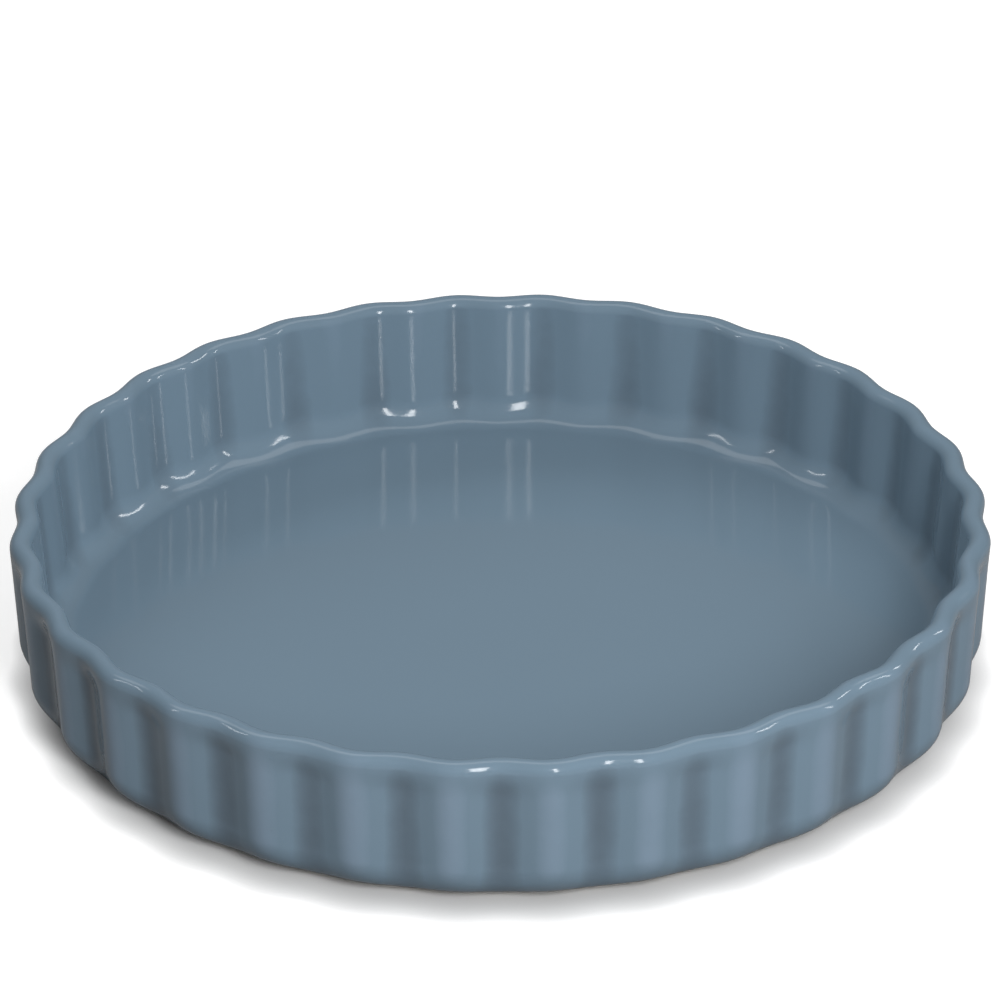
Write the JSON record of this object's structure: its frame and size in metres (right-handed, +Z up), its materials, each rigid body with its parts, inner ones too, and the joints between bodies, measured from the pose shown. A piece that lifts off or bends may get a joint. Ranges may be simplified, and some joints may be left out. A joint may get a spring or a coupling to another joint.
{
  "type": "flan dish",
  "caption": "Round fluted stoneware flan dish with a rounded rim, a flat floor and a glossy blue-grey glaze over all but its foot ring.",
  "frame": {"origin": "on the table, below the middle of the dish", "axes": "+Z up along the dish's axis; X and Y each run through a valley of the flutes"},
  "size_m": [0.2786, 0.2786, 0.0475],
  "materials": {
    "bare_stoneware": "unglazed fired clay",
    "blue_grey_glaze": "glossy fired glaze",
    "underside_glaze": "glossy fired glaze"
  },
  "bodies": {
    "root": {"stoneware_body": "bare_stoneware", "glaze_coat": "blue_grey_glaze", "underside_glaze": "underside_glaze"}
  },
  "joints": []
}
